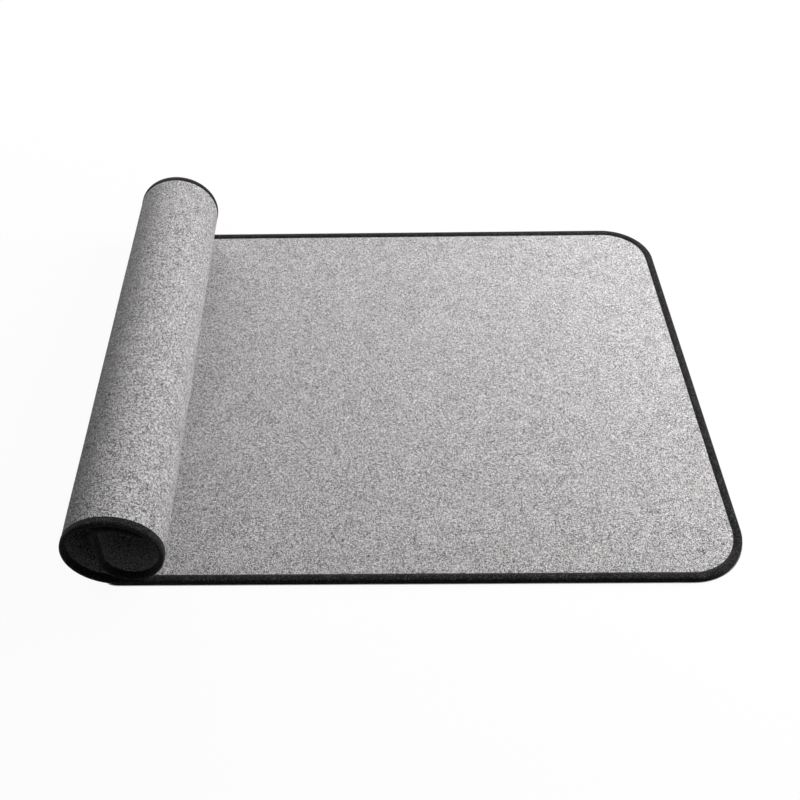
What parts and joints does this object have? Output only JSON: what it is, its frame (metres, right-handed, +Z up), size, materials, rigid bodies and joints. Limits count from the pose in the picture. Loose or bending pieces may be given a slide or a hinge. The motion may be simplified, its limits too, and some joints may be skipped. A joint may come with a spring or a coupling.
{
  "type": "calligraphy felt mat",
  "caption": "Grey felt desk mat for brush calligraphy with rounded corners and a folded black tape edge, one end rolled up on itself; the roll opens out flat.",
  "frame": {"origin": "on the table, under the middle of the whole object", "axes": "+X along the mat to its free end, the roll lies at -X; +Y to the far edge; +Z up"},
  "size_m": [0.7246, 0.6, 0.108],
  "materials": {
    "felt": "heathered grey needle felt, fine salt-and-pepper fibres, matt",
    "tape": "charcoal black woven binding tape, low sheen"
  },
  "bodies": {
    "flat": {"flat_felt": "felt", "flat_tape": "tape"},
    "strip_01": {"roll_felt_01": "felt", "near_tape_01": "tape", "far_tape_01": "tape"},
    "strip_02": {"roll_felt_02": "felt", "near_tape_02": "tape", "far_tape_02": "tape"},
    "strip_03": {"roll_felt_03": "felt", "near_tape_03": "tape", "far_tape_03": "tape"},
    "strip_04": {"roll_felt_04": "felt", "near_tape_04": "tape", "far_tape_04": "tape"},
    "strip_05": {"roll_felt_05": "felt", "near_tape_05": "tape", "far_tape_05": "tape"},
    "strip_06": {"roll_felt_06": "felt", "near_tape_06": "tape", "far_tape_06": "tape"},
    "strip_07": {"roll_felt_07": "felt", "near_tape_07": "tape", "far_tape_07": "tape"},
    "strip_08": {"roll_felt_08": "felt", "near_tape_08": "tape", "far_tape_08": "tape"},
    "strip_09": {"roll_felt_09": "felt", "near_tape_09": "tape", "far_tape_09": "tape"},
    "strip_10": {"roll_felt_10": "felt", "near_tape_10": "tape", "far_tape_10": "tape"},
    "strip_11": {"roll_felt_11": "felt", "near_tape_11": "tape", "far_tape_11": "tape"},
    "strip_12": {"roll_felt_12": "felt", "near_tape_12": "tape", "far_tape_12": "tape"},
    "strip_13": {"roll_felt_13": "felt", "near_tape_13": "tape", "far_tape_13": "tape"},
    "strip_14": {"roll_felt_14": "felt", "near_tape_14": "tape", "far_tape_14": "tape"},
    "strip_15": {"roll_felt_15": "felt", "near_tape_15": "tape", "far_tape_15": "tape"},
    "strip_16": {"roll_felt_16": "felt", "near_tape_16": "tape", "far_tape_16": "tape"},
    "strip_17": {"roll_felt_17": "felt", "near_tape_17": "tape", "far_tape_17": "tape"},
    "strip_18": {"roll_felt_18": "felt", "near_tape_18": "tape", "far_tape_18": "tape"},
    "strip_19": {"roll_felt_19": "felt", "end_tape": "tape"}
  },
  "joints": [
    {"name": "unroll_01", "type": "hinge", "parent": "flat", "child": "strip_01", "pos_m": [-0.32215, 0, 0.0018], "axis": [0, -1, 0], "range_deg": [0, 29.7]},
    {"name": "unroll_02", "type": "hinge", "parent": "strip_01", "child": "strip_02", "pos_m": [-0.34619, 0, 0.01551], "axis": [0, -1, 0], "range_deg": [0, 29.7]},
    {"name": "unroll_03", "type": "hinge", "parent": "strip_02", "child": "strip_03", "pos_m": [-0.36028, 0, 0.03933], "axis": [0, -1, 0], "range_deg": [0, 29.7]},
    {"name": "unroll_04", "type": "hinge", "parent": "strip_03", "child": "strip_04", "pos_m": [-0.36072, 0, 0.06701], "axis": [0, -1, 0], "range_deg": [0, 29.7]},
    {"name": "unroll_05", "type": "hinge", "parent": "strip_04", "child": "strip_05", "pos_m": [-0.34739, 0, 0.09126], "axis": [0, -1, 0], "range_deg": [0, 29.7]},
    {"name": "unroll_06", "type": "hinge", "parent": "strip_05", "child": "strip_06", "pos_m": [-0.3238, 0, 0.10573], "axis": [0, -1, 0], "range_deg": [0, 29.7]},
    {"name": "unroll_07", "type": "hinge", "parent": "strip_06", "child": "strip_07", "pos_m": [-0.29614, 0, 0.10661], "axis": [0, -1, 0], "range_deg": [0, 29.7]},
    {"name": "unroll_08", "type": "hinge", "parent": "strip_07", "child": "strip_08", "pos_m": [-0.27167, 0, 0.09367], "axis": [0, -1, 0], "range_deg": [0, 29.7]},
    {"name": "unroll_09", "type": "hinge", "parent": "strip_08", "child": "strip_09", "pos_m": [-0.25683, 0, 0.07031], "axis": [0, -1, 0], "range_deg": [0, 29.7]},
    {"name": "unroll_10", "type": "hinge", "parent": "strip_09", "child": "strip_10", "pos_m": [-0.25551, 0, 0.04267], "axis": [0, -1, 0], "range_deg": [0, 29.7]},
    {"name": "unroll_11", "type": "hinge", "parent": "strip_10", "child": "strip_11", "pos_m": [-0.26806, 0, 0.018], "axis": [0, -1, 0], "range_deg": [0, 37.88]},
    {"name": "unroll_12", "type": "hinge", "parent": "strip_11", "child": "strip_12", "pos_m": [-0.29143, 0, 0.00702], "axis": [0, -1, 0], "range_deg": [0, 46.06]},
    {"name": "unroll_13", "type": "hinge", "parent": "strip_12", "child": "strip_13", "pos_m": [-0.31555, 0, 0.01624], "axis": [0, -1, 0], "range_deg": [0, 46.06]},
    {"name": "unroll_14", "type": "hinge", "parent": "strip_13", "child": "strip_14", "pos_m": [-0.32565, 0, 0.04], "axis": [0, -1, 0], "range_deg": [0, 23.03]},
    {"name": "unroll_15", "type": "hinge", "parent": "strip_14", "child": "strip_15", "pos_m": [-0.32565, 0, 0.08317], "axis": [0, -1, 0], "range_deg": [0, 21.84]},
    {"name": "unroll_16", "type": "hinge", "parent": "strip_15", "child": "strip_16", "pos_m": [-0.32123, 0, 0.09422], "axis": [0, -1, 0], "range_deg": [0, 43.68]},
    {"name": "unroll_17", "type": "hinge", "parent": "strip_16", "child": "strip_17", "pos_m": [-0.31039, 0, 0.09915], "axis": [0, -1, 0], "range_deg": [0, 40.51]},
    {"name": "unroll_18", "type": "hinge", "parent": "strip_17", "child": "strip_18", "pos_m": [-0.28258, 0, 0.09117], "axis": [0, -1, 0], "range_deg": [0, 37.33]},
    {"name": "unroll_19", "type": "hinge", "parent": "strip_18", "child": "strip_19", "pos_m": [-0.26532, 0, 0.06795], "axis": [0, -1, 0], "range_deg": [0, 37.33]}
  ],
  "couplings": [
    {"joint": "unroll_02", "follows": "unroll_01", "ratio": 1},
    {"joint": "unroll_03", "follows": "unroll_01", "ratio": 1},
    {"joint": "unroll_04", "follows": "unroll_01", "ratio": 1},
    {"joint": "unroll_05", "follows": "unroll_01", "ratio": 1},
    {"joint": "unroll_06", "follows": "unroll_01", "ratio": 1},
    {"joint": "unroll_07", "follows": "unroll_01", "ratio": 1},
    {"joint": "unroll_08", "follows": "unroll_01", "ratio": 1},
    {"joint": "unroll_09", "follows": "unroll_01", "ratio": 1},
    {"joint": "unroll_10", "follows": "unroll_01", "ratio": 1},
    {"joint": "unroll_11", "follows": "unroll_01", "ratio": 1.2756},
    {"joint": "unroll_12", "follows": "unroll_01", "ratio": 1.5512},
    {"joint": "unroll_13", "follows": "unroll_01", "ratio": 1.5512},
    {"joint": "unroll_14", "follows": "unroll_01", "ratio": 0.77557},
    {"joint": "unroll_15", "follows": "unroll_01", "ratio": 0.7354},
    {"joint": "unroll_16", "follows": "unroll_01", "ratio": 1.4708},
    {"joint": "unroll_17", "follows": "unroll_01", "ratio": 1.364},
    {"joint": "unroll_18", "follows": "unroll_01", "ratio": 1.2572},
    {"joint": "unroll_19", "follows": "unroll_01", "ratio": 1.2572}
  ]
}
